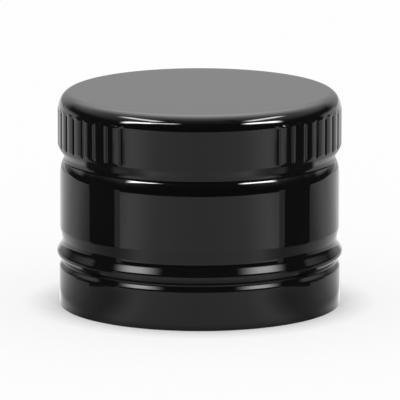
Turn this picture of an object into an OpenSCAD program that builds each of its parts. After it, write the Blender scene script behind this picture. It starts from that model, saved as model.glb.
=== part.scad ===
// Roll-on screw cap for a glass bottle, as supplied before its thread is rolled on.
// One deep-drawn sheet metal shell with a knurled head, a waisted neck, a plain thread
// wall, a bead and a straight skirt, and a soft sealing liner seated under the top panel.
// Millimetres, +Z up, origin at the middle of the open rim.

/* [Overall] */
// Height of the cap over the top panel
cap_h = 24; // [23:0.5:30]
// Outer diameter of the plain wall that takes the thread, which the other diameters follow
body_d = 31.24; // [28:0.02:38]
// Thickness of the drawn sheet
wall_t = 0.23; // [0.2:0.01:0.3]

/* [Head] */
// How far the plain panels of the head stand out from the thread wall
head_proud = 0.18; // [0.1:0.01:0.4]
// Outer radius of the corner between the top panel and the head
top_corner_r = 1.6; // [1:0.1:2.2]
// Outer radius where the head turns in towards the neck
head_foot_r = 1; // [0.6:0.1:1.5]

/* [Knurl] */
// Plain panels round the head, with a group of flutes between each two
panel_count = 2; // [1:1:3]
// Flutes in each group
flute_count = 17; // [3:1:17]
// Angle from one flute to the next, in degrees
flute_pitch = 7.05; // [5:0.05:7.05]
// Depth of a flute at its middle
flute_depth = 0.155; // [0.1:0.005:0.2]
// Radius of the two rounded sides that meet at the bottom of a flute
flute_side_r = 0.65; // [0.5:0.05:0.8]
// Radius on which the bottom of a flute runs out at its ends
flute_end_r = 0.6; // [0.4:0.05:1]

/* [Neck] */
// Depth of the neck at its narrowest place, from the thread wall
neck_depth = 0.47; // [0.3:0.01:0.6]
// Distance from the top panel down to the corner line of the neck
neck_drop = 7.3; // [7:0.05:8]
// Angle of the neck's upper flank from the vertical, in degrees
neck_upper_angle = 35; // [25:1:45]
// Angle of the neck's lower flank from the vertical, in degrees
neck_lower_angle = 31; // [25:1:40]
// Radius in the hollow of the neck
neck_hollow_r = 0.8; // [0.5:0.1:1]
// Radius of the rounded shoulder from the neck to the thread wall
shoulder_r = 2.5; // [1.5:0.1:2.5]

/* [Bead] */
// How far the bead stands out from the thread wall
bead_proud = 0.35; // [0.25:0.01:0.5]
// Height of the bead's crest above the open rim
bead_z = 5.97; // [5.8:0.01:6.4]
// Radius of the bead's crest
bead_r = 0.5; // [0.3:0.05:0.6]
// Angle of the bead's flanks from the vertical, in degrees
bead_angle = 37; // [30:1:42]
// Depth of the groove above the bead, from the thread wall
upper_groove_depth = 0.17; // [0.1:0.01:0.3]
// Radius in the groove above the bead
upper_groove_r = 1; // [0.6:0.1:1.2]
// Depth of the groove below the bead, from the skirt
lower_groove_depth = 0.34; // [0.2:0.01:0.4]
// Radius in the groove below the bead
lower_groove_r = 0.25; // [0.2:0.05:0.4]

/* [Skirt] */
// How far the straight skirt stands out from the thread wall
skirt_proud = 0.07; // [0:0.01:0.15]
// Radius at the upper edge of the skirt
skirt_edge_r = 0.4; // [0.3:0.05:0.6]

/* [Liner] */
// Thickness of the sealing liner
liner_t = 2; // [1.5:0.1:2.5]
// Gap between the liner's edge and the backs of the flutes
liner_gap = 0.2; // [0.1:0.05:0.4]

/* [Hidden] */
$fn = 96;

// Degrees between two points of an arc in the wall's section
arc_step = 9;
// Angle of the short flank from the thread wall into the groove above the bead
groove_entry_angle = 12;
// The arcs of a flute's sides would end this far above the head's surface, so that they
// cross it at a slight angle, and the ends run this far below the flute's bottom
flute_lift = 0.008;
// A cut reaches this far past the face that it opens
over = 1;

// Outer radii of the wall, each stepped from the thread wall
body_r = body_d / 2;
head_r = body_r + head_proud;
waist_r = body_r - neck_depth;
bead_top_r = body_r + bead_proud;
upper_groove_bottom_r = body_r - upper_groove_depth;
skirt_r = body_r + skirt_proud;
lower_groove_bottom_r = skirt_r - lower_groove_depth;

// How far an arc of radius r stands off the corner that it rounds, for two flanks
// that lean a and b from the vertical on either side of it
function corner_gap(r, a, b) = r * (1 / cos((a + b) / 2) - 1) * cos((a - b) / 2);

// Radii of the sharp corners that the arcs round off, so that the radii above are the
// finished ones
neck_corner = waist_r - corner_gap(neck_hollow_r, neck_upper_angle, neck_lower_angle);
bead_corner = bead_top_r + corner_gap(bead_r, bead_angle, bead_angle);
upper_groove_corner = upper_groove_bottom_r
    - corner_gap(upper_groove_r, bead_angle, groove_entry_angle);
lower_groove_corner = lower_groove_bottom_r - corner_gap(lower_groove_r, bead_angle, bead_angle);

// Heights of those corners, each worked out along the flank that leads to it
neck_z = cap_h - neck_drop;
lower_groove_z = bead_z - (bead_corner - lower_groove_corner) / tan(bead_angle);
skirt_edge_z = lower_groove_z - (skirt_r - lower_groove_corner) / tan(bead_angle);
upper_groove_z = bead_z + (bead_corner - upper_groove_corner) / tan(bead_angle);
body_foot_z = upper_groove_z + (body_r - upper_groove_corner) / tan(groove_entry_angle);
body_top_z = neck_z - (body_r - neck_corner) / tan(neck_lower_angle);
head_turn_z = neck_z + (head_r - neck_corner) / tan(neck_upper_angle);

// Section of a flute: two round sides, which meet at its bottom at flute_lean from the
// head's surface
flute_lean = acos(1 - (flute_depth + flute_lift) / flute_side_r);
flute_side_x = flute_side_r * sin(flute_lean);
flute_bottom_r = head_r - flute_depth;
// The flutes show over the whole height of the head's wall, from the corner line at its
// foot to the start of the corner at the top. Their ends run on outside the metal.
flute_run_out = flute_end_r - sqrt(pow(flute_end_r, 2) - pow(flute_end_r - flute_depth, 2));
flute_low_z = head_turn_z - flute_run_out;
flute_high_z = cap_h - top_corner_r + flute_run_out;

// The liner lies against the top panel, clears the backs of the flutes, and has its
// upper edge rounded like the inside of the shell's corner
liner_r = flute_bottom_r - wall_t - liner_gap;
liner_top_z = cap_h - wall_t;
liner_edge_r = top_corner_r - wall_t;

// Corners of the outer surface from the open rim to the middle of the top panel:
// radius from the axis, height, and the radius of the arc that rounds the corner
corners = [
    [skirt_r, 0, 0],
    [skirt_r, skirt_edge_z, skirt_edge_r],
    [lower_groove_corner, lower_groove_z, lower_groove_r],
    [bead_corner, bead_z, bead_r],
    [upper_groove_corner, upper_groove_z, upper_groove_r],
    [body_r, body_foot_z, upper_groove_r],
    [body_r, body_top_z, shoulder_r],
    [neck_corner, neck_z, neck_hollow_r],
    [head_r, head_turn_z, head_foot_r],
    [head_r, cap_h, top_corner_r],
    [0, cap_h, 0]
];

function unit(v) = v / norm(v);
function turned_left(v) = [-v[1], v[0]];
function heading(v) = atan2(v[1], v[0]);
function turn(a, b) = heading([a * b, a[0] * b[1] - a[1] * b[0]]);

// Points of the arc that rounds corner i, moved into the metal by inset. A corner that
// turns left bulges outwards, so its arc tightens as it moves in, and one that turns
// right opens up.
function arc_points(i, inset) =
    let (
        p = [corners[i][0], corners[i][1]],
        d_in = unit(p - [corners[i - 1][0], corners[i - 1][1]]),
        d_out = unit([corners[i + 1][0], corners[i + 1][1]] - p),
        bend = turn(d_in, d_out),
        side = sign(bend),
        r = corners[i][2],
        start = p - d_in * r * tan(abs(bend) / 2),
        centre = start + turned_left(d_in) * side * r,
        steps = max(2, ceil(abs(bend) / arc_step)),
        first = heading(d_in) - side * 90
    )
    [for (k = [0:steps])
        centre + (r - side * inset) * [cos(first + bend * k / steps), sin(first + bend * k / steps)]];

// The whole line of the wall's section, moved into the metal by inset
function wall_line(inset) = concat(
    [[skirt_r - inset, 0]],
    [for (i = [1:len(corners) - 2]) each arc_points(i, inset)],
    [[0, cap_h - inset]]
);

function reversed(list) = [for (i = [len(list) - 1:-1:0]) list[i]];

// The drawn sheet without its flutes
module plain_shell() {
    rotate_extrude($fn = 180)
        polygon(concat(wall_line(0), reversed(wall_line(wall_t))));
}

// Puts one copy of its child at each flute, with +X pointing away from the axis
module at_flutes() {
    for (group = [0:panel_count - 1])
        for (i = [0:flute_count - 1])
            let (
                group_middle = (group + 0.5) * 360 / panel_count - 90,
                from_middle = (i - (flute_count - 1) / 2) * flute_pitch
            )
            rotate([0, 0, group_middle + from_middle])
                children();
}

// The part of a flute's section that lies depth inside its surface: the hollow itself at
// no depth, and with the sheet's thickness the metal behind it too. The middle of the
// flute's bottom is at the origin, and +Y points out of the head.
module flute_section(depth) {
    if (depth > 0)
        circle(r = depth, $fn = 36);
    difference() {
        translate([-flute_side_x, -depth * cos(flute_lean)])
            square([2 * flute_side_x, over]);
        for (side = [-1, 1])
            translate([side * flute_side_x, -flute_side_r * cos(flute_lean)])
                circle(r = flute_side_r - depth, $fn = 72);
    }
}

// Section through the ring that the flutes reach, moved into the metal by depth, with
// the run-out arcs at its two inner corners
module flute_reach(depth) {
    corner_r = flute_end_r + depth;
    difference() {
        translate([flute_bottom_r - flute_lift - depth, flute_low_z - depth])
            square([flute_depth + depth + over, flute_high_z - flute_low_z + 2 * depth]);
        for (end = [[flute_low_z - depth, 1], [flute_high_z + depth, -1]])
            translate([flute_bottom_r - flute_lift - depth, end[0]])
                scale([1, end[1]])
                    translate([corner_r, corner_r])
                        difference() {
                            translate([-corner_r - over, -corner_r - over])
                                square(corner_r + over);
                            circle(r = corner_r, $fn = 72);
                        }
    }
}

// All the flutes, straight up the head and run out at both ends
module flutes(depth) {
    intersection() {
        at_flutes()
            translate([flute_bottom_r, 0, flute_low_z - over])
                rotate([0, 0, -90])
                    linear_extrude(flute_high_z - flute_low_z + 2 * over)
                        flute_section(depth);
        rotate_extrude($fn = 180)
            flute_reach(depth);
    }
}

// Drawn, knurled and lacquered aluminium shell. The back of each flute is pressed into
// the inside, so that the sheet keeps its thickness there.
module shell() {
    color("#1b1b1d")
        difference() {
            union() {
                plain_shell();
                intersection() {
                    flutes(wall_t);
                    translate([0, 0, head_turn_z])
                        cylinder(h = liner_top_z - head_turn_z, r = head_r - wall_t / 2);
                }
            }
            flutes(0);
        }
}

// Soft sealing disc under the top panel, too wide to fall out through the neck
module liner() {
    color("#e9e7e1")
        rotate_extrude($fn = 180)
            difference() {
                translate([0, liner_top_z - liner_t])
                    square([liner_r, liner_t]);
                translate([liner_r - liner_edge_r, liner_top_z - liner_edge_r])
                    difference() {
                        square(liner_edge_r + over);
                        circle(r = liner_edge_r, $fn = 72);
                    }
            }
}

shell();
liner();
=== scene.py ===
"""A roll-on bottle cap in gloss black lacquer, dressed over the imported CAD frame."""
import math

import bpy
import numpy as np
from bpy.props import FloatProperty, FloatVectorProperty, IntProperty, PointerProperty
from bpy.types import Operator, Panel, PropertyGroup
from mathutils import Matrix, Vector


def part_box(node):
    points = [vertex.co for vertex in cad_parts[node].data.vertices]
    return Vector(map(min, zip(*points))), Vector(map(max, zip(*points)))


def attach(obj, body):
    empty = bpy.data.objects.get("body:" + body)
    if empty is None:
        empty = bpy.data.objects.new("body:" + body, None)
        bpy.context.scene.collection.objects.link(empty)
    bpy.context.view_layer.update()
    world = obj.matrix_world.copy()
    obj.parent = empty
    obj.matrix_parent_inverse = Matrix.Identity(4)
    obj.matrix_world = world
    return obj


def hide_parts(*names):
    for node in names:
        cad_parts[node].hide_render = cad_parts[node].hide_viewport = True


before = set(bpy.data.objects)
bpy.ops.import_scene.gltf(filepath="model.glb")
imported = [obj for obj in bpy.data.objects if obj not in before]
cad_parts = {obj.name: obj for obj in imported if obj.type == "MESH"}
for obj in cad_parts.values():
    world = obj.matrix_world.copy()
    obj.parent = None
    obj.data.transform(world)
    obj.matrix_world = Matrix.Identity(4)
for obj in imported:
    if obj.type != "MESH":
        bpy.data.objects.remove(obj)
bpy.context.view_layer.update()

bl_info = {
    "name": "Roll-on bottle cap",
    "version": (1, 0, 0),
    "blender": (4, 5, 0),
    "location": "View3D > Sidebar > Bottle cap",
    "description": "Lacquered shell and foam liner of a bottle cap, with a small photo studio",
    "category": "Object",
}

BODY = "root"
MM = 0.001

# Box corners of the two CAD nodes, up to which the shapes are built
SHELL_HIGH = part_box("shell")[1]
LINER_LOW, LINER_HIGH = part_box("liner")

# Degrees between two rows of an arc, outside and inside the shell. The turn into the neck and
# the wide part of the head's corner, which carries the flutes' ends, take a share of it. The
# rim's outer edge and the liner's two edges have steps of their own.
OUTER_STEP = 10.0
INNER_STEP = 26.0
FOOT_STEP_SHARE = 0.6
LEAN_STEP_SHARE = 0.18
RIM_STEP = 30.0
LINER_LOW_STEP = 22.5
LINER_HIGH_STEP = 15.0

# Rows that carry the flutes' ends, in millimetres: the lower ones run between two heights above
# the head's foot, the upper ones from below the flutes' top to below the head's corner
LOW_ROW_START = 0.4
LOW_ROW_END = 1.0
LOW_ROW_COUNT = 6
HIGH_ROW_START = 0.6
HIGH_ROW_END = 0.02
HIGH_ROW_COUNT = 4

# Columns of the meshes: millimetres from a flute's middle, how many lie on a plain panel, and
# how many go round the liner
FLUTE_COLUMNS = (0.0, 0.05, 0.11, 0.17, 0.24, 0.31, 0.38, 0.5, 0.63, 0.8)
PANEL_COLUMNS = 20
LINER_COLUMNS = 180

# Steps over which the slope of an offset is measured: radians round and millimetres up
STEP_ROUND = 1e-5
STEP_UP = 1e-3

# What scatter multiplies a flute's number, its side of the cap and then their sine by
SCATTER = (12.9898, 4.1414, 43758.5453)

# Noise seldom leaves this part of its range from 0 to 1
NOISE_LOW = 0.3
NOISE_HIGH = 0.7

# Shares of a finish's colour and of its roughness that the noise carries it between
LACQUER_TONES = (0.85, 1.15)
LACQUER_ROUGHS = (0.7, 1.3)
METAL_TONES = (1.0, 0.86)
METAL_ROUGHS = (0.8, 1.25)
FOAM_TONES = (1.0, 0.8)
FOAM_ROUGHS = (0.85, 1.15)

WHITE = (1.0, 1.0, 1.0, 1.0)

# Level of the tent by degrees from the middle of its light, and of the floor by degrees
# round the axis from the camera's side, as the lacquer mirrors them. The floor's levels are painted shade
# and light.
TENT_BY_ANGLE = ((0, 3.4), (10, 3.3), (26, 2.0), (38, 1.0), (50, 0.65), (65, 0.5), (78, 0.35),
                 (90, 0.15), (100, 0.05), (115, 0.025))
NEAR_FLOOR_PAINTED_SHADING = ((0, 0.49), (29, 0.58), (39, 0.71), (46, 0.5), (55, 0.27), (66, 0.26), (77, 0.33),
              (93, 0.48), (104, 0.66), (115, 0.85), (150, 1.05))
FAR_FLOOR_PAINTED_SHADING = ((0, 0.53), (20, 0.58), (36, 0.68), (49, 0.97), (58, 0.9), (80, 0.26), (93, 0.28),
             (108, 0.57), (123, 0.68), (138, 0.9), (153, 1.05))

# Soft boxes that stand far off in every view: name, then azimuth from the front, elevation,
# half width, half height and roll in degrees
BOXES = (
    ("box_left", -61, 48.5, 21, 7, 4),
    ("box_right", 68, 47, 20, 6.5, -4),
)

# Lights near the cap in millimetres: name, cloth, both ends and half the width as a vector
STRIPS = (
    ("strip_left_out", "strip", (-34, -22, 31), (-21, -36, 39.4), (0, 0, 2.6)),
    ("strip_left_in", "strip", (-28, -30.5, 35), (-9, -41, 42), (0, 0, 1.8)),
    ("strip_right", "strip", (20, -37, 37.5), (36, -20, 32), (0, 0, 2.6)),
    ("canopy", "canopy", (-20, -33, 57.75), (20, -33, 57.75), (0, -7, 27.25)),
)

# The flag over the bead in millimetres: its middle, half across and half along
FLAG = ((0, -18, 12.5), (0, 12, 0), (25.5, 0, 0))

# Panels beside the cap in millimetres: name, cloth, middle, half across and half along. These
# are the right ones, and the left ones mirror them.
SIDE_PANELS = (
    ("card", "black", (30, -12, 10), (0, 6.5, 0), (0, 0, 20)),
    ("foot", "dark", (13.3, -9.1, 4.2), (-1.5, -2.0, 0), (1.0, -0.75, 0)),
    ("patch", "patch", (12.1, -16.2, 12), (5.2, 3.0, 0), (1.3, -2.2, 0)),
    ("edge", "edge", (30, -19.8, 8.25), (0, 1.3, 0), (0, 0, 8.25)),
    ("white", "white", (31, 10, 22), (0, 11, 0), (0, 0, 3.6)),
    ("shade", "shade", (19, 1.5, 15.5), (0, -11, 0), (5.5, 0, 0)),
    ("neck", "dark", (12.8, -9.6, 15.6), (-2.1, -2.9, 0), (1.4, -1.0, 0)),
)


def length(name, description, millimetres):
    """A size in metres, given here in millimetres."""
    return FloatProperty(name=name, description=description, default=millimetres * MM,
                         unit="LENGTH", precision=5)


def angle(name, description, degrees):
    """An angle in radians, given here in degrees."""
    return FloatProperty(name=name, description=description, default=math.radians(degrees),
                         subtype="ANGLE")


def amount(name, description, value, most=1.0):
    """A plain number from 0 up."""
    return FloatProperty(name=name, description=description, default=value, min=0.0, max=most,
                         precision=4)


def colour(name, description, value):
    """A linear colour."""
    return FloatVectorProperty(name=name, description=description, default=value,
                               subtype="COLOR", min=0.0, max=1.0)


class ShellSizes(PropertyGroup):
    """Sizes of the drawn sheet metal shell."""
    height: length("Height", "Rim to top panel", SHELL_HIGH[2] / MM)
    sheet: length("Sheet", "Thickness of the sheet", 0.23)
    wall_radius: length("Wall radius", "Plain wall that takes the thread", 15.62)
    head_radius: length("Head radius", "Plain panels of the head", 15.8)
    neck_radius: length("Neck radius", "Narrowest place of the neck", 15.15)
    bead_radius: length("Bead radius", "Crest of the bead", 15.96)
    skirt_radius: length("Skirt radius", "Straight skirt under the bead", 15.69)
    upper_groove_radius: length("Upper groove radius", "Groove above the bead", 15.38)
    lower_groove_radius: length("Lower groove radius", "Groove below the bead", 15.35)
    neck_height: length("Neck height", "Corner line of the neck above the rim", 16.76)
    bead_height: length("Bead height", "Crest of the bead above the rim", 5.97)
    neck_upper_flank: angle("Neck upper flank", "Lean from the vertical", 35)
    neck_lower_flank: angle("Neck lower flank", "Lean from the vertical", 26)
    bead_upper_flank: angle("Bead upper flank", "Lean from the vertical", 32.5)
    bead_lower_flank: angle("Bead lower flank", "Lean from the vertical", 37)
    groove_entry: angle("Groove entry", "Lean of the short flank over the upper groove", 12)
    top_bend: length("Top bend", "Corner between top panel and head, its tighter upper part", 1.45)
    head_lean_bend: length("Head lean bend", "The corner's wider lower part", 3.0)
    corner_straight: length("Corner straight", "Between the two parts of the corner", 0.03)
    head_lean: angle("Head lean", "How far the wider part turns in from the vertical", 20)
    head_foot_bend: length("Head foot bend", "Turn from the head into the neck", 1.0)
    neck_bend: length("Neck bend", "Hollow of the neck", 0.8)
    shoulder_bend: length("Shoulder bend", "Turn from the neck to the wall", 3.8)
    upper_groove_bend: length("Upper groove bend", "Hollow above the bead", 1.2)
    bead_bend: length("Bead bend", "Crest of the bead", 0.5)
    lower_groove_bend: length("Lower groove bend", "Hollow below the bead", 0.25)
    skirt_bend: length("Skirt bend", "Upper edge of the skirt", 0.4)
    rim_bend: length("Rim bend", "Edges of the cut rim", 0.05)


class KnurlSizes(PropertyGroup):
    """Sizes of the fluted groups round the head."""
    groups: IntProperty(name="Groups", description="Groups of flutes", default=2, min=1)
    flutes: IntProperty(name="Flutes", description="Flutes in a group", default=17, min=1)
    pitch: angle("Pitch", "From one flute to the next", 7.05)
    depth: length("Depth", "Depth of a flute under the metal beside it", 0.13)
    side_bend: length("Side bend", "Radius of a flute's two rounded sides", 0.53)
    bottom_blend: length("Bottom blend", "Rounding where the two sides meet", 0.03)
    crest_rise: length("Crest rise", "Land between flutes above the plain panel", 0.07)
    flute_rise: length("Flute rise", "Metal beside a flute above the plain panel", 0.02)
    end_dip: length("End dip", "Hollow of the panel beside a group's last flute", 0.025)
    dip_place: angle("Dip place", "From the last flute to the bottom of that hollow", 0.9)
    end_run_out: angle("End run-out", "From the last flute to the plain panel", 2.3)
    upper_end: length("Upper end", "Top of the flutes below the top panel", 1.6)
    lower_end: length("Lower end", "Foot of the flutes above the neck's corner line", 1.15)
    fade: length("Fade", "Height over which the lands rise at their ends", 0.4)
    unevenness: amount("Unevenness", "Share by which the flutes' depths differ", 0.06)


class LinerSizes(PropertyGroup):
    """Sizes of the foam sealing disc."""
    radius: length("Radius", "Edge of the disc", LINER_HIGH[0] / MM)
    upper_edge: length("Upper edge", "Rounding under the shell's corner", 1.37)
    lower_edge: length("Lower edge", "Rounding of the cut lower edge", 0.12)
    wave: length("Wave", "How far the cut edge falls back on average", 0.012)


class Finishes(PropertyGroup):
    """Colours and finishes of the cap."""
    lacquer: colour("Lacquer", "Gloss black outside", (0.0034, 0.0034, 0.0036))
    lacquer_roughness: amount("Lacquer roughness", "Middle value", 0.05)
    peel: length("Peel", "Height of the fine ripple in the lacquer", 0.0016)
    drawing: length("Drawing", "Height of the broad waves left by drawing", 0.004)
    metal: colour("Metal", "Clear lacquered aluminium inside", (0.78, 0.78, 0.77))
    metal_roughness: amount("Metal roughness", "Middle value", 0.3)
    foam: colour("Foam", "Liner foam", (0.82, 0.81, 0.78))
    foam_roughness: amount("Foam roughness", "Middle value", 0.6)
    mark_depth: length("Mark depth", "Height of the die marks inside", 0.003)
    cell_depth: length("Cell depth", "Height of the foam's dimples", 0.02)
    cloud_scale: amount("Lacquer clouds", "Waves a metre", 260.0, most=9999.0)
    drawing_scale: amount("Drawing scale", "Waves a metre", 170.0, most=9999.0)
    peel_scale: amount("Peel scale", "Waves a metre", 1100.0, most=9999.0)
    mark_scale: amount("Mark scale", "Waves a metre round the wall", 2600.0, most=9999.0)
    mark_stretch: amount("Mark stretch", "Share of those waves along the axis", 0.04)
    metal_cloud_scale: amount("Metal clouds", "Waves a metre", 300.0, most=9999.0)
    cell_scale: amount("Cell scale", "Foam cells a metre", 2200.0, most=9999.0)
    mottle_scale: amount("Foam mottle", "Waves a metre", 700.0, most=9999.0)


class StudioSizes(PropertyGroup):
    """Camera, floor and lights."""
    camera_distance: length("Camera distance", "From the point it looks at", 749.0)
    camera_elevation: angle("Camera elevation", "Above the floor", 11.28)
    lens: amount("Lens", "Focal length in millimetres", 602.6, most=2000.0)
    aim_side: length("Aim side", "Point looked at, to the right", 0.039)
    aim_height: length("Aim height", "Point looked at, above the rim", 11.585)
    floor_size: length("Floor size", "Side of the floor", 3000.0)
    floor_glow: amount("Floor glow", "Level behind the paper, which brings it to 1", 1.04, most=2.0)
    fibre_scale: amount("Paper fibres", "Waves a metre", 900.0, most=9999.0)
    paper_low: amount("Paper low", "Reflectance of the paper's darker fibres", 0.95)
    paper_high: amount("Paper high", "Reflectance of its paler ones", 0.97)
    shadow_depth: amount("Shadow depth", "How much of the floor's shade the camera sees", 0.27)
    contact_depth: amount("Contact depth", "The same right beside the rim", 0.85)
    light_elevation: angle("Light elevation", "Middle of the broad light behind the cap", 60)
    box_distance: length("Box distance", "From the cap to the two soft boxes", 300.0)
    box_aim: length("Box aim", "Height on the cap that they face", 20.0)
    box_strength: amount("Box strength", "Level of the two soft boxes", 17.0, most=100.0)
    strip_strength: amount("Strip strength", "Level of the narrow lights", 38.0, most=100.0)
    card_level: amount("Card level", "Level of the black cards in gloss", 0.03)
    edge_level: amount("Card edge level", "Level of the cards' paler outer edge", 0.38)
    canopy_level: amount("Canopy level", "Level of the broad front light over the cap", 0.45)
    patch_level: amount("Patch level", "Level of the two patches over the bead", 7.0, most=100.0)
    white_level: amount("White card level", "Level of the cards behind the cap's sides", 0.8)
    shade_level: amount("Shade level", "Level of the shades beside the neck", 0.85)
    boards_low: angle("Boards low", "Elevation up to which the side boards are full", 12)
    boards_high: angle("Boards high", "Elevation over which they are gone", 34)
    boards_level: amount("Boards level", "Share of the tent's light before them", 0.06)
    opening_start: angle("Opening start", "Azimuth at which the boards begin to end", 128)
    opening_end: angle("Opening end", "Azimuth from which they are gone", 152)
    hood_low: angle("Hood low", "Elevation up to which the front hood is full", 60)
    hood_high: angle("Hood high", "Elevation over which it is gone", 70)
    hood_level: amount("Hood level", "Share of the tent's light before it", 0.1)
    hood_start: angle("Hood start", "Azimuth up to which the hood is full", 35)
    hood_end: angle("Hood end", "Azimuth from which it is gone", 60)
    near_floor: length("Near floor", "Radius up to which the near floor's level holds", 29)
    far_floor: length("Far floor", "Radius from which the far floor's level holds", 46)
    shadow_start: length("Shadow start", "Radius at which the camera's contact shadow starts", 15.8)
    shadow_end: length("Shadow end", "Radius at which it has faded", 19.8)
    # These six set the painted shade at the front of the rim and the painted light at its sides, on the
    # floor as gloss sees it
    painted_rim_start: length("Foot start", "Radius at which the gloss sees the cap's own foot", 15.6)
    painted_rim_end: length("Foot end", "Radius at which that has faded", 19.6)
    painted_rim_front: angle("Foot front", "Azimuth up to which the foot's front level holds", 50)
    painted_rim_side: angle("Foot side", "Azimuth from which the foot's side level holds", 82)
    painted_rim_front_level: amount("Foot front level", "Share of the floor's level there", 0.5)
    painted_rim_side_level: amount("Foot side level", "Share of the floor's level there", 2.6, most=9.0)


def smooth(low, high, value):
    """Smooth step: 0 below low, 1 above high, 3t^2 - 2t^3 between."""
    t = np.clip((value - low) / (high - low), 0.0, 1.0)
    return t * t * (3.0 - 2.0 * t)


def bend_gap(radius, lean_a, lean_b):
    """How far an arc stands off the corner that it rounds, between flanks of leans a and b.

    r (1 / cos((a + b) / 2) - 1) cos((a - b) / 2), measured square to the axis.
    """
    return radius * (1 / math.cos((lean_a + lean_b) / 2) - 1) * math.cos((lean_a - lean_b) / 2)


def rounded_line(corners, inset):
    """Points and unit directions along a line whose corners are rounded by tangent arcs.

    corners holds (radius from the axis, height, arc radius, degrees a step). An arc starts at
    arc radius times tan(half the turn) before its corner and keeps its distance from its
    centre. Moved in by inset, an arc that turns left tightens and one that turns right opens.
    A corner without an arc is a plain point of a straight stretch.
    """
    places = np.array([c[:2] for c in corners])
    steps = np.diff(places, axis=0)
    steps /= np.linalg.norm(steps, axis=1, keepdims=True)
    left = np.stack([-steps[:, 1], steps[:, 0]], axis=1)
    points = [places[:1] + inset * left[:1]]
    ways = [steps[:1]]
    for i in range(1, len(corners) - 1):
        radius, per_step = corners[i][2:]
        if radius == 0:
            points.append(places[i:i + 1] + inset * left[i:i + 1])
            ways.append(steps[i:i + 1])
            continue
        turn = math.atan2(float(left[i - 1] @ steps[i]), float(steps[i - 1] @ steps[i]))
        side = math.copysign(1.0, turn)
        centre = places[i] - steps[i - 1] * radius * math.tan(abs(turn) / 2) + left[i - 1] * side * radius
        count = max(2, math.ceil(math.degrees(abs(turn)) / per_step))
        heading = math.atan2(steps[i - 1][1], steps[i - 1][0]) + turn * np.linspace(0, 1, count + 1)
        way = np.stack([np.cos(heading), np.sin(heading)], axis=1)
        outward = np.stack([way[:, 1], -way[:, 0]], axis=1) * side
        points.append(centre + (radius - side * inset) * outward)
        ways.append(way)
    points.append(places[-1:] + inset * left[-1:])
    ways.append(steps[-1:])
    return np.concatenate(points), np.concatenate(ways)


def wall_corners(s, k, fine):
    """Corners of the shell's outer line, from the open rim to the middle of the top panel.

    Each height is worked out along the flank that leads to it, from the neck and the bead.
    fine is the degrees between two rows of an arc.
    """
    neck = s.neck_radius - bend_gap(s.neck_bend, s.neck_upper_flank, s.neck_lower_flank)
    bead = s.bead_radius + bend_gap(s.bead_bend, s.bead_upper_flank, s.bead_lower_flank)
    upper = s.upper_groove_radius - bend_gap(s.upper_groove_bend, s.bead_upper_flank, s.groove_entry)
    lower = s.lower_groove_radius - bend_gap(s.lower_groove_bend, s.bead_lower_flank, s.bead_lower_flank)
    slope = math.tan(s.bead_lower_flank)
    lower_z = s.bead_height - (bead - lower) / slope
    skirt_z = lower_z - (s.skirt_radius - lower) / slope
    upper_z = s.bead_height + (bead - upper) / math.tan(s.bead_upper_flank)
    foot_z = upper_z + (s.wall_radius - upper) / math.tan(s.groove_entry)
    shoulder_z = s.neck_height - (s.wall_radius - neck) / math.tan(s.neck_lower_flank)
    turn_z = s.neck_height + (s.head_radius - neck) / math.tan(s.neck_upper_flank)
    flute_top = s.height - k.upper_end
    # The two arcs of the head's corner meet with a very short straight between them
    corner_side = (s.head_lean_bend * math.tan(s.head_lean / 2)
                   + s.top_bend * math.tan((math.pi / 2 - s.head_lean) / 2) + s.corner_straight)
    lean_z = s.height - corner_side * math.cos(s.head_lean)
    lean_start = lean_z - s.head_lean_bend * math.tan(s.head_lean / 2)
    low_rows = turn_z + np.linspace(LOW_ROW_START, LOW_ROW_END, LOW_ROW_COUNT) * MM
    first, last = flute_top - HIGH_ROW_START * MM, lean_start - HIGH_ROW_END * MM
    high_rows = np.linspace(first, last, HIGH_ROW_COUNT)
    head_rows = [(s.head_radius, z, 0.0, 0.0) for z in (*low_rows, *high_rows)]
    return [
        (s.skirt_radius, 0.0, s.rim_bend, RIM_STEP),
        (s.skirt_radius, skirt_z, s.skirt_bend, fine),
        (lower, lower_z, s.lower_groove_bend, fine),
        (bead, s.bead_height, s.bead_bend, fine),
        (upper, upper_z, s.upper_groove_bend, fine),
        (s.wall_radius, foot_z, s.upper_groove_bend, fine),
        (s.wall_radius, shoulder_z, s.shoulder_bend, fine),
        (neck, s.neck_height, s.neck_bend, fine),
        (s.head_radius, turn_z, s.head_foot_bend, fine * FOOT_STEP_SHARE),
        *head_rows,
        (s.head_radius, lean_z, s.head_lean_bend, fine * LEAN_STEP_SHARE),
        (s.head_radius - corner_side * math.sin(s.head_lean), s.height, s.top_bend, fine),
        (0.0, s.height, 0.0, 0.0),
    ]


def shell_section(s, k):
    """The section of the sheet, from the top panel's inside round the rim to its outside.

    The outer line is rounded_line as it is. The inner one is the same line with fewer rows,
    moved in by the sheet's thickness and run backwards. Two small bends turn the cut edge of
    the rim, the inner one a bend of three points.
    """
    outside = wall_corners(s, k, OUTER_STEP)
    inside = wall_corners(s, k, INNER_STEP)
    inner_edge = s.skirt_radius - s.sheet
    outer, outer_way = rounded_line([(inner_edge, 0.0, 0.0, 0.0), *outside], 0.0)
    inner, inner_way = rounded_line([(s.skirt_radius, 0.0, 0.0, 0.0), *inside[1:]], s.sheet)
    middle = s.skirt_radius - s.sheet / 2
    # Halfway round, a bend lies 1 - cos 45 degrees of its radius in from both sides: about 0.3
    halfway = 0.3 * s.rim_bend
    lean = math.sqrt(0.5)
    edge = np.array([(inner_edge, s.rim_bend), (inner_edge + halfway, halfway),
                     (inner_edge + s.rim_bend, 0.0), (middle, 0.0)])
    edge_way = np.array([(0.0, -1.0), (lean, -lean), (1.0, 0.0), (1.0, 0.0)])
    back, back_way = inner[:0:-1], -inner_way[:0:-1]
    line = np.concatenate([back, edge, outer[1:]])
    way = np.concatenate([back_way, edge_way, outer_way[1:]])
    return line, way, len(back) + len(edge)


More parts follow.
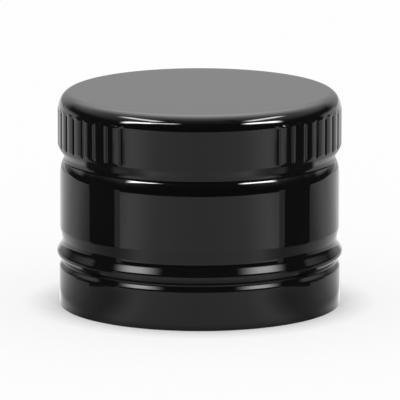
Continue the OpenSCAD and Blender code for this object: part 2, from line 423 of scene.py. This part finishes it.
def scatter(number, side):
    """A fixed number from 0 to 1 for each flute: the fraction of a large multiple of a sine."""
    by_number, by_side, by_sine = SCATTER
    large = np.sin(by_number * number + by_side * side) * by_sine
    return large - np.floor(large)


def flute_hollow(k, across, depth, inset):
    """Depth of a flute at a distance across from its middle, as a value below zero.

    Two arcs of the side bend, centred either side of the flute, meet at its bottom. On the
    inside of the sheet each arc is smaller by inset and an arc of that radius joins them.
    """
    lean = np.arccos(1 - depth / k.side_bend)
    reach = k.side_bend * np.sin(lean)
    from_side = np.minimum(across - reach, 0.0)
    sides = np.sqrt((k.side_bend - inset) ** 2 - np.minimum(from_side ** 2, (k.side_bend - inset) ** 2))
    hollow = sides - k.side_bend * np.cos(lean) - depth + inset
    joined = inset - depth - np.sqrt(np.maximum(inset ** 2 - across ** 2, 0.0))
    return np.where(across < inset * np.sin(lean), joined, np.where(across < reach, hollow, 0.0))


def knurl_offset(s, k, azimuth, height, inset):
    """How far the head's wall stands out from the plain panel, at an azimuth and height.

    The land between two flutes is the crest rise less a cosine squared of the place in the
    pitch, so that it falls to the flute rise at each flute. Outside a group's last flute it
    falls into a shallow dip and climbs straight to the plain panel. The hollow of the flute is
    taken off it, measured across the flute and, past its ends, along it too, which rounds them.
    """
    spacing = 2 * math.pi / k.groups
    from_group = (azimuth + spacing / 2) % spacing - spacing / 2
    last = (k.flutes - 1) / 2
    number = np.clip(np.round(from_group / k.pitch), -last, last)
    from_flute = from_group - number * k.pitch
    outside = (np.abs(number) == last) & (from_flute * number > 0)
    land = k.crest_rise - (k.crest_rise - k.flute_rise) * np.cos(math.pi * from_flute / k.pitch) ** 2
    apart = np.abs(from_flute)
    run_out = k.flute_rise - (k.flute_rise + k.end_dip) * smooth(0.0, k.dip_place, apart)
    run_out += k.end_dip * np.clip((apart - k.dip_place) / (k.end_run_out - k.dip_place), 0.0, 1.0)
    top = s.height - k.upper_end
    foot = s.neck_height + k.lower_end
    rise = np.where(outside, run_out, land)
    rise = rise * smooth(foot, foot + k.fade, height)
    rise = rise * (1 - smooth(top - k.fade / 2, top + k.fade / 2, height))
    depth = k.depth * (1 + k.unevenness * (2 * scatter(number, np.sign(np.cos(azimuth))) - 1))
    half_width = k.side_bend * math.sin(math.acos(1 - k.depth / k.side_bend))
    beyond = np.maximum(height - (top - half_width), 0.0) + np.maximum(foot + half_width - height, 0.0)
    across = np.sqrt((from_flute * s.head_radius) ** 2 + beyond ** 2 + k.bottom_blend ** 2)
    return rise + flute_hollow(k, across, depth, inset)


def liner_wave(n, azimuth, height):
    """How far the disc's edge falls back: the wave times 1 + sin 5a cos 3a, all the way up."""
    return -n.wave * (1 + np.sin(5 * azimuth) * np.cos(3 * azimuth)) + 0 * height


def knurl_columns(s, k):
    """Azimuths of the mesh's columns: close together in each flute, wide over the plain panels."""
    in_flute = np.array(FLUTE_COLUMNS) * MM / s.head_radius
    in_flute = np.concatenate([-in_flute[:0:-1], in_flute])
    flutes = (np.arange(k.flutes) - (k.flutes - 1) / 2) * k.pitch
    crests = flutes[:-1] + k.pitch / 2
    spacing = 2 * math.pi / k.groups
    group = np.sort(np.concatenate([(flutes[:, None] + in_flute).ravel(), crests]))
    plain = np.linspace(group[-1], spacing + group[0], PANEL_COLUMNS + 2)[1:-1]
    one = np.concatenate([group, plain])
    return np.concatenate([one + g * spacing for g in range(k.groups)])


def turned_mesh(name, line, way, columns, offset, faces_material):
    """A closed surface from pole to pole: the section line carried round the axis.

    The point of row s and column a lies at radius r(s) + d(a, z) and height z(s), where d is
    the offset. Its normal is the cross product of the two tangents: with q the radius and m
    the line's own rise outwards plus d's rise along it, (q z', -d_a z', -q m) in the
    directions outwards, round and up. The first and last rows lie on the axis and become
    one vertex each.
    """
    azimuth = columns[None, :]
    height = line[:, 1:]
    across, along = STEP_ROUND, STEP_UP * MM
    d = offset(azimuth, height)
    d_round = (offset(azimuth + across, height) - offset(azimuth - across, height)) / (2 * across)
    d_up = (offset(azimuth, height + along) - offset(azimuth, height - along)) / (2 * along)
    q = line[:, :1] + d
    rise = way[:, 1:]
    m = way[:, :1] + d_up * rise
    out, around, up = q * rise, -d_round * rise, -q * m
    cos, sin = np.cos(azimuth), np.sin(azimuth)
    points = np.stack([q * cos, q * sin, np.broadcast_to(height, q.shape)], axis=-1)
    normals = np.stack([out * cos - around * sin, out * sin + around * cos, up], axis=-1)
    poles = np.array([[0.0, 0.0, line[0, 1]], [0.0, 0.0, line[-1, 1]]])
    pole_normals = np.array([[0.0, 0.0, -way[0, 0]], [0.0, 0.0, -way[-1, 0]]])
    vertices = np.concatenate([poles[:1], points[1:-1].reshape(-1, 3), poles[1:]])
    normals = np.concatenate([pole_normals[:1], normals[1:-1].reshape(-1, 3), pole_normals[1:]])
    normals /= np.linalg.norm(normals, axis=1, keepdims=True)
    rows, wide = len(line) - 2, len(columns)
    ring = np.arange(rows * wide).reshape(rows, wide) + 1
    after = np.roll(ring, -1, axis=1)
    quads = np.stack([ring[:-1], after[:-1], after[1:], ring[1:]], axis=-1).reshape(-1, 4)
    low_fan = np.stack([np.zeros(wide, int), after[0], ring[0]], axis=-1)
    high_fan = np.stack([ring[-1], after[-1], np.full(wide, len(vertices) - 1)], axis=-1)
    loops = np.concatenate([low_fan.ravel(), quads.ravel(), high_fan.ravel()])
    totals = np.concatenate([np.full(wide, 3), np.full(len(quads), 4), np.full(wide, 3)])
    row_of_face = np.concatenate([np.zeros(wide, int), np.repeat(np.arange(rows - 1), wide) + 1,
                                  np.full(wide, rows)])
    mesh = bpy.data.meshes.new(name)
    mesh.vertices.add(len(vertices))
    mesh.vertices.foreach_set("co", vertices.ravel())
    mesh.loops.add(len(loops))
    mesh.loops.foreach_set("vertex_index", loops)
    mesh.polygons.add(len(totals))
    mesh.polygons.foreach_set("loop_start", np.cumsum(totals) - totals)
    mesh.polygons.foreach_set("loop_total", totals)
    mesh.polygons.foreach_set("material_index", faces_material(row_of_face).astype(int))
    mesh.polygons.foreach_set("use_smooth", np.ones(len(totals), bool))
    mesh.update(calc_edges=True)
    mesh.validate()
    mesh.normals_split_custom_set_from_vertices(normals.tolist())
    thing = bpy.data.objects.new(name, mesh)
    bpy.context.scene.collection.objects.link(thing)
    return thing


class Graph:
    """Short calls that build a node tree."""

    def __init__(self, tree):
        self.tree = tree
        tree.nodes.clear()

    def node(self, kind, inputs=None, **settings):
        """A new node with its settings, and its inputs set to numbers or joined to sockets."""
        made = self.tree.nodes.new(kind)
        for key, value in settings.items():
            setattr(made, key, value)
        for key, value in (inputs or {}).items():
            if isinstance(value, bpy.types.NodeSocket):
                self.tree.links.new(value, made.inputs[key])
            else:
                made.inputs[key].default_value = value
        return made

    def math(self, operation, a, b=0.0, clamp=False):
        """One sum of two numbers or sockets."""
        return self.node("ShaderNodeMath", {0: a, 1: b}, operation=operation, use_clamp=clamp).outputs[0]

    def spread(self, value, low, high, to_low=0.0, to_high=1.0, kind="SMOOTHSTEP"):
        """value from low to high, carried to to_low and to_high and held past them."""
        return self.node("ShaderNodeMapRange", {
            "Value": value, "From Min": low, "From Max": high, "To Min": to_low, "To Max": to_high,
        }, interpolation_type=kind).outputs["Result"]

    def noise(self, where, scale, detail=2.0):
        """Noise of about 0.5 in the middle, at so many waves a metre."""
        return self.node("ShaderNodeTexNoise", {
            "Vector": where, "Scale": scale, "Detail": detail}).outputs["Fac"]

    def blend(self, factor, a, b):
        """A colour between a and b."""
        made = self.node("ShaderNodeMix", {"Factor": factor}, data_type="RGBA")
        for slot, value in ((6, a), (7, b)):
            if isinstance(value, bpy.types.NodeSocket):
                self.tree.links.new(value, made.inputs[slot])
            else:
                made.inputs[slot].default_value = (*value[:3], 1.0)
        return made.outputs[2]

    def bump(self, height, distance, under=None):
        """A normal tilted by a height of that distance at full value."""
        inputs = {"Height": height, "Distance": distance, "Strength": 1.0}
        if under is not None:
            inputs["Normal"] = under
        return self.node("ShaderNodeBump", inputs).outputs["Normal"]


def new_material(name):
    """An empty material and its graph."""
    material = bpy.data.materials.new(name)
    material.use_nodes = True
    return material, Graph(material.node_tree)


def finish_surface(graph, inputs):
    """Ends a graph in one plain shader."""
    shader = graph.node("ShaderNodeBsdfPrincipled", inputs)
    graph.node("ShaderNodeOutputMaterial", {"Surface": shader.outputs[0]})


def scaled(rgb, factor):
    """A colour made lighter or darker."""
    return tuple(min(1.0, c * factor) for c in rgb)


def uneven_tone(g, noise, rgb, shares):
    """A colour that a noise carries between two shares of it."""
    return g.blend(noise, scaled(rgb, shares[0]), scaled(rgb, shares[1]))


def uneven_value(g, noise, middle, shares):
    """A value that a noise carries between two shares of its middle value."""
    return g.spread(noise, NOISE_LOW, NOISE_HIGH, middle * shares[0], middle * shares[1], "LINEAR")


def lacquer_material(f):
    """Gloss black lacquer: deep and even, with a fine ripple over broad waves from the drawing."""
    material, g = new_material("gloss_black_lacquer")
    where = g.node("ShaderNodeTexCoord").outputs["Object"]
    clouds = g.noise(where, f.cloud_scale, detail=3.0)
    tone = uneven_tone(g, clouds, f.lacquer, LACQUER_TONES)
    rough = uneven_value(g, clouds, f.lacquer_roughness, LACQUER_ROUGHS)
    waves = g.bump(g.noise(where, f.drawing_scale, detail=1.0), f.drawing)
    ripple = g.bump(g.noise(where, f.peel_scale, detail=2.0), f.peel, waves)
    finish_surface(g, {"Base Color": tone, "Roughness": rough, "Normal": ripple, "IOR": 1.5})
    return material


def inside_material(f):
    """Clear lacquered aluminium, with the upright marks that the drawing die leaves."""
    material, g = new_material("drawn_aluminium_inside")
    where = g.node("ShaderNodeTexCoord").outputs["Object"]
    stretch = (1.0, 1.0, f.mark_stretch)
    upright = g.node("ShaderNodeMapping", {"Vector": where, "Scale": stretch}).outputs[0]
    marks = g.noise(upright, f.mark_scale, detail=4.0)
    clouds = g.noise(where, f.metal_cloud_scale, detail=2.0)
    tone = uneven_tone(g, g.math("MULTIPLY", marks, clouds), f.metal, METAL_TONES)
    rough = uneven_value(g, marks, f.metal_roughness, METAL_ROUGHS)
    lines = g.bump(marks, f.mark_depth)
    finish_surface(g, {"Base Color": tone, "Roughness": rough, "Normal": lines, "Metallic": 1.0})
    return material


def foam_material(f):
    """White foam with a thin skin: small closed cells show as shallow dimples."""
    material, g = new_material("liner_foam_skin")
    where = g.node("ShaderNodeTexCoord").outputs["Object"]
    cells = g.node("ShaderNodeTexVoronoi", {"Vector": where, "Scale": f.cell_scale},
                   feature="SMOOTH_F1").outputs["Distance"]
    mottle = g.noise(where, f.mottle_scale, detail=3.0)
    tone = uneven_tone(g, g.math("MULTIPLY", cells, mottle), f.foam, FOAM_TONES)
    rough = uneven_value(g, mottle, f.foam_roughness, FOAM_ROUGHS)
    dimples = g.bump(cells, f.cell_depth)
    finish_surface(g, {"Base Color": tone, "Roughness": rough, "Normal": dimples, "IOR": 1.45})
    return material


def azimuth_from_front(g, vector):
    """Angle round the axis from the camera's side, 0 to pi, the same to the left and right."""
    parts = g.node("ShaderNodeSeparateXYZ", {0: vector})
    side = g.math("ABSOLUTE", parts.outputs["X"])
    front = g.math("MULTIPLY", parts.outputs["Y"], -1.0)
    return g.math("ARCTAN2", side, front)


def profile(g, value, stops):
    """A smooth curve through stops of (degrees, level), read at an angle of 0 to pi."""
    most = max(level for place, level in stops)
    made = g.node("ShaderNodeValToRGB", {"Fac": g.math("DIVIDE", value, math.pi)})
    made.color_ramp.interpolation = "CARDINAL"
    elements = made.color_ramp.elements
    elements.remove(elements[-1])
    for i, (place, level) in enumerate(stops):
        stop = elements[0] if i == 0 else elements.new(place / 180)
        stop.position = place / 180
        stop.color = (*[level / most] * 3, 1.0)
    return g.math("MULTIPLY", made.outputs["Color"], most)


def studio_world(t):
    """White air for light and camera. Gloss sees the tent: one broad light above and behind.

    The light falls off with the angle from its middle. Dark boards stand all round up to a
    low elevation, except behind, and a hood darkens the front up to a high one.
    """
    world = bpy.data.worlds.new("tent")
    world.use_nodes = True
    bpy.context.scene.world = world
    g = Graph(world.node_tree)
    way = g.node("ShaderNodeTexCoord").outputs["Generated"]
    middle = (0.0, math.cos(t.light_elevation), math.sin(t.light_elevation))
    near = g.node("ShaderNodeVectorMath", {0: way, 1: middle}, operation="DOT_PRODUCT").outputs["Value"]
    tent = profile(g, g.math("ARCCOSINE", near), TENT_BY_ANGLE)
    up = g.node("ShaderNodeSeparateXYZ", {0: way}).outputs["Z"]
    azimuth = azimuth_from_front(g, way)
    boards = g.spread(up, math.sin(t.boards_low), math.sin(t.boards_high), t.boards_level, 1.0)
    behind = g.spread(azimuth, t.opening_start, t.opening_end)
    opening = g.math("MAXIMUM", boards, behind)
    hood = g.spread(up, math.sin(t.hood_low), math.sin(t.hood_high), t.hood_level, 1.0)
    beside = g.spread(azimuth, t.hood_start, t.hood_end)
    tent = g.math("MULTIPLY", tent, g.math("MULTIPLY", opening, g.math("MAXIMUM", hood, beside)))
    gloss = g.node("ShaderNodeLightPath").outputs["Is Glossy Ray"]
    white = g.node("ShaderNodeBackground", {"Color": WHITE, "Strength": 1.0})
    seen = g.node("ShaderNodeBackground", {"Color": WHITE, "Strength": tent})
    both = g.node("ShaderNodeMixShader", {0: gloss, 1: white.outputs[0], 2: seen.outputs[0]})
    g.node("ShaderNodeOutputWorld", {"Surface": both.outputs[0]})


def floor_material(t):
    """White paper. The camera sees it lit through, so that it is white and keeps its shadow.

    Gloss sees it with painted shade and light, at the levels the cards and the tent would give,
    near the cap and further out. Right beside the rim it has painted shade at the front and painted light
    at the sides.
    """
    material, g = new_material("white_paper")
    where = g.node("ShaderNodeTexCoord").outputs["Object"]
    fibres = g.noise(where, t.fibre_scale, detail=2.0)
    paper = g.blend(fibres, [t.paper_low] * 3, [t.paper_high] * 3)
    matte = g.node("ShaderNodeBsdfDiffuse", {"Color": paper}).outputs[0]
    glow = g.node("ShaderNodeEmission", {"Color": paper, "Strength": t.floor_glow}).outputs[0]
    path = g.node("ShaderNodeLightPath")
    azimuth = azimuth_from_front(g, where)
    distance = g.node("ShaderNodeVectorMath", {0: where}, operation="LENGTH").outputs["Value"]
    depth = g.spread(distance, t.shadow_start, t.shadow_end, t.contact_depth, t.shadow_depth, "LINEAR")
    shown = g.node("ShaderNodeMixShader", {0: depth, 1: glow, 2: matte}).outputs[0]
    camera = path.outputs["Is Camera Ray"]
    seen = g.node("ShaderNodeMixShader", {0: camera, 1: matte, 2: shown}).outputs[0]
    out = g.spread(distance, t.near_floor, t.far_floor)
    # Painted shade and light by azimuth, near the cap and further out
    near = g.math("MULTIPLY", profile(g, azimuth, NEAR_FLOOR_PAINTED_SHADING), g.math("SUBTRACT", 1.0, out))
    far = g.math("MULTIPLY", profile(g, azimuth, FAR_FLOOR_PAINTED_SHADING), out)
    # Painted shade at the front of the rim and painted light at its sides, as gloss sees the floor
    foot = g.spread(azimuth, t.painted_rim_front, t.painted_rim_side, t.painted_rim_front_level, t.painted_rim_side_level)
    painted_rim_shading = g.spread(distance, t.painted_rim_start, t.painted_rim_end, foot, 1.0)
    level = g.math("MULTIPLY", g.math("ADD", near, far), painted_rim_shading)
    painted_gloss_shading = g.node("ShaderNodeEmission", {"Color": WHITE, "Strength": level}).outputs[0]
    final = g.node("ShaderNodeMixShader", {0: path.outputs["Is Glossy Ray"], 1: seen, 2: painted_gloss_shading})
    g.node("ShaderNodeOutputMaterial", {"Surface": final.outputs[0]})
    return material


def flat_panel(name, centre, across, along):
    """A rectangle in millimetres about its centre, half of each side as a vector, with a UV map."""
    centre, across, along = (np.array(v, float) * MM for v in (centre, across, along))
    corners = np.array([[-1, -1], [1, -1], [1, 1], [-1, 1]])
    points = centre + corners[:, :1] * across + corners[:, 1:] * along
    mesh = bpy.data.meshes.new(name)
    mesh.from_pydata(points.tolist(), [], [(0, 1, 2, 3)])
    uv = corners.astype(float) * 0.5 + 0.5
    mesh.uv_layers.new(name="UVMap").uv.foreach_set("vector", uv.ravel())
    panel = bpy.data.objects.new(name, mesh)
    bpy.context.scene.collection.objects.link(panel)
    return panel


def gloss_panel(name, centre, across, along, material):
    """A flat panel that shows in reflections and nowhere else."""
    panel = flat_panel(name, centre, across, along)
    panel.data.materials.append(material)
    panel.visible_camera = False
    panel.visible_diffuse = False
    panel.visible_shadow = False
    panel.visible_transmission = False
    panel.visible_volume_scatter = False


def glow_material(name, strength, end_fade, side_fade, foot=1.0, one_sided=False):
    """A cloth at a level, which lets what is behind it through towards its ends and sides.

    The fades are shares of its length and width. foot is the share of its level at its lower
    side. A one sided cloth is seen from its front only.
    """
    material, g = new_material(name)
    uv = g.node("ShaderNodeSeparateXYZ", {0: g.node("ShaderNodeTexCoord").outputs["UV"]})
    cover = 1.0
    for axis, fade in (("X", end_fade), ("Y", side_fade)):
        off = g.math("ABSOLUTE", g.math("SUBTRACT", uv.outputs[axis], 0.5))
        cover = g.math("MULTIPLY", cover, g.spread(off, 0.5, 0.5 - fade))
    if one_sided:
        back = g.node("ShaderNodeNewGeometry").outputs["Backfacing"]
        cover = g.math("MULTIPLY", cover, g.math("SUBTRACT", 1.0, back))
    level = g.spread(uv.outputs["Y"], 0.0, 1.0, foot * strength, strength, "LINEAR")
    light = g.node("ShaderNodeEmission", {"Color": WHITE, "Strength": level}).outputs[0]
    clear = g.node("ShaderNodeBsdfTransparent").outputs[0]
    both = g.node("ShaderNodeMixShader", {0: cover, 1: clear, 2: light})
    g.node("ShaderNodeOutputMaterial", {"Surface": both.outputs[0]})
    material.cycles.emission_sampling = "NONE"
    return material


def card_material(name, level):
    """Matt card at the level that gloss sees of it."""
    material, g = new_material(name)
    light = g.node("ShaderNodeEmission", {"Color": WHITE, "Strength": level})
    g.node("ShaderNodeOutputMaterial", {"Surface": light.outputs[0]})
    material.cycles.emission_sampling = "NONE"
    return material


def light_bar(name, start, end, half_width, material):
    """A strip of light between two points in millimetres, with half its width as a vector."""
    start, end = np.array(start, float), np.array(end, float)
    gloss_panel(name, (start + end) / 2, (end - start) / 2, half_width, material)


def far_box(t, name, azimuth, elevation, half_wide, half_high, roll, material):
    """A soft box far from the cap and facing it, all in degrees from the front and the floor.

    Half a side is its distance times the tangent of half its angle, turned by the roll.
    """
    a, e, r = (math.radians(v) for v in (azimuth, elevation, roll))
    distance = t.box_distance / MM
    away = np.array([math.sin(a) * math.cos(e), -math.cos(a) * math.cos(e), math.sin(e)])
    level = np.array([math.cos(a), math.sin(a), 0.0])
    upright = np.cross(level, away)
    across = distance * math.tan(math.radians(half_wide)) * (math.cos(r) * level + math.sin(r) * upright)
    along = distance * math.tan(math.radians(half_high)) * (math.cos(r) * upright - math.sin(r) * level)
    aim = np.array([0.0, 0.0, t.box_aim / MM])
    gloss_panel(name, away * distance + aim, across, along, material)


def side_panel(side, name, centre, across, along, material):
    """A panel on the right (side 1), or its mirror on the left (side -1).

    A mirrored panel would face the other way, so its across vector is turned round as well.
    """
    mirror = np.array([side, 1.0, 1.0])
    gloss_panel(name, np.array(centre) * mirror, np.array(across) * mirror * side,
                np.array(along) * mirror, material)


def studio_cloths(t):
    """The materials of the panels that only gloss sees, by the names that the lists use."""
    return {
        "box": glow_material("soft_box_cloth", t.box_strength, end_fade=0.3, side_fade=0.45),
        "strip": glow_material("strip_cloth", t.strip_strength, end_fade=0.25, side_fade=0.5),
        "canopy": glow_material("canopy_cloth", t.canopy_level, end_fade=0.3, side_fade=0.15, foot=0.3),
        "black": glow_material("black_card", t.card_level, end_fade=0.02, side_fade=0.25),
        "flag": glow_material("black_flag", t.card_level, end_fade=0.1, side_fade=0.1, one_sided=True),
        "patch": glow_material("lit_patch", t.patch_level, end_fade=0.45, side_fade=0.5, one_sided=True),
        "edge": card_material("card_edge", t.edge_level),
        "white": glow_material("white_card", t.white_level, end_fade=0.2, side_fade=0.35),
        "dark": glow_material("bead_shade", t.card_level, end_fade=0.2, side_fade=0.2, one_sided=True),
        "shade": glow_material("neck_shade", t.shade_level, end_fade=0.15, side_fade=0.12, foot=0.75,
                               one_sided=True),
    }


def look_at_cap(t):
    """The camera, level with the horizon, at its distance and elevation from the point it aims at."""
    aim = np.array([t.aim_side, 0.0, t.aim_height])
    e = t.camera_elevation
    data = bpy.data.cameras.new("camera")
    data.sensor_width = 36.0
    data.lens = t.lens
    data.clip_start = 0.01
    data.clip_end = 10.0
    camera = bpy.data.objects.new("camera", data)
    camera.location = aim + t.camera_distance * np.array([0.0, -math.cos(e), math.sin(e)])
    camera.rotation_euler = (math.pi / 2 - e, 0.0, 0.0)
    bpy.context.scene.collection.objects.link(camera)
    bpy.context.scene.camera = camera


class BOTTLECAP_OT_shell(Operator):
    """Builds the lacquered shell with its knurl and stands it for the CAD shell"""
    bl_idname = "bottle_cap.shell"
    bl_label = "Build shell"

    def execute(self, context):
        scene = context.scene
        s, k = scene.cap_shell, scene.cap_knurl
        line, way, outside = shell_section(s, k)
        inset = np.where(np.arange(len(line)) < outside, s.sheet, 0.0)[:, None]
        shell = turned_mesh(
            "lacquered_shell", line, way, knurl_columns(s, k),
            lambda azimuth, height: np.where(
                inset > 0, knurl_offset(s, k, azimuth, height, s.sheet),
                knurl_offset(s, k, azimuth, height, 0.0)),
            lambda row: row < outside)
        shell.data.materials.append(lacquer_material(scene.cap_finishes))
        shell.data.materials.append(inside_material(scene.cap_finishes))
        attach(shell, BODY)
        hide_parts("shell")
        return {"FINISHED"}


class BOTTLECAP_OT_liner(Operator):
    """Builds the soft sealing disc and stands it for the CAD liner"""
    bl_idname = "bottle_cap.liner"
    bl_label = "Build liner"

    def execute(self, context):
        scene = context.scene
        n = scene.cap_liner
        low, high = LINER_LOW[2], LINER_HIGH[2]
        line, way = rounded_line([
            (0.0, low, 0.0, 0.0), (n.radius / 2, low, 0.0, 0.0),
            (n.radius, low, n.lower_edge, LINER_LOW_STEP),
            (n.radius, high, n.upper_edge, LINER_HIGH_STEP), (0.0, high, 0.0, 0.0)], 0.0)
        liner = turned_mesh(
            "foam_liner", line, way, np.linspace(0, 2 * math.pi, LINER_COLUMNS, endpoint=False),
            lambda azimuth, height: liner_wave(n, azimuth, height),
            lambda row: row * 0)
        liner.data.materials.append(foam_material(scene.cap_finishes))
        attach(liner, BODY)
        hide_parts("liner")
        return {"FINISHED"}


class BOTTLECAP_OT_studio(Operator):
    """Sets the floor, the tent, the soft boxes, the cards and flags and the camera"""
    bl_idname = "bottle_cap.studio"
    bl_label = "Set the studio"

    def execute(self, context):
        t = context.scene.cap_studio
        half = t.floor_size / MM / 2
        floor = flat_panel("floor", (0, 0, 0), (half, 0, 0), (0, half, 0))
        floor.data.materials.append(floor_material(t))
        studio_world(t)
        cloths = studio_cloths(t)
        for name, *placing in BOXES:
            far_box(t, name, *placing, cloths["box"])
        for name, cloth, start, end, half_width in STRIPS:
            light_bar(name, start, end, half_width, cloths[cloth])
        gloss_panel("flag", *FLAG, cloths["flag"])
        for side_name, side in (("left", -1), ("right", 1)):
            for name, cloth, *placing in SIDE_PANELS:
                side_panel(side, f"{name}_{side_name}", *placing, cloths[cloth])
        look_at_cap(t)
        context.scene.view_settings.view_transform = "Standard"
        return {"FINISHED"}


class BOTTLECAP_PT_panel(Panel):
    """Sizes, finishes and the three steps"""
    bl_label = "Bottle cap"
    bl_idname = "BOTTLECAP_PT_panel"
    bl_space_type = "VIEW_3D"
    bl_region_type = "UI"
    bl_category = "Bottle cap"

    def draw(self, context):
        for step in STEPS:
            self.layout.operator(step.bl_idname)
        for name in GROUPS:
            group = getattr(context.scene, name)
            box = self.layout.box()
            for key in group.__annotations__:
                box.prop(group, key)


STEPS = (BOTTLECAP_OT_shell, BOTTLECAP_OT_liner, BOTTLECAP_OT_studio)
GROUPS = {
    "cap_shell": ShellSizes, "cap_knurl": KnurlSizes, "cap_liner": LinerSizes,
    "cap_finishes": Finishes, "cap_studio": StudioSizes,
}


def register():
    for kind in (*GROUPS.values(), *STEPS, BOTTLECAP_PT_panel):
        bpy.utils.register_class(kind)
    for name, kind in GROUPS.items():
        setattr(bpy.types.Scene, name, PointerProperty(type=kind))


def unregister():
    for name in GROUPS:
        delattr(bpy.types.Scene, name)
    for kind in (BOTTLECAP_PT_panel, *reversed(STEPS), *reversed(GROUPS.values())):
        bpy.utils.unregister_class(kind)


def main():
    """Builds the cap and the studio."""
    register()
    bpy.ops.bottle_cap.shell()
    bpy.ops.bottle_cap.liner()
    bpy.ops.bottle_cap.studio()


if __name__ == "__main__":
    main()
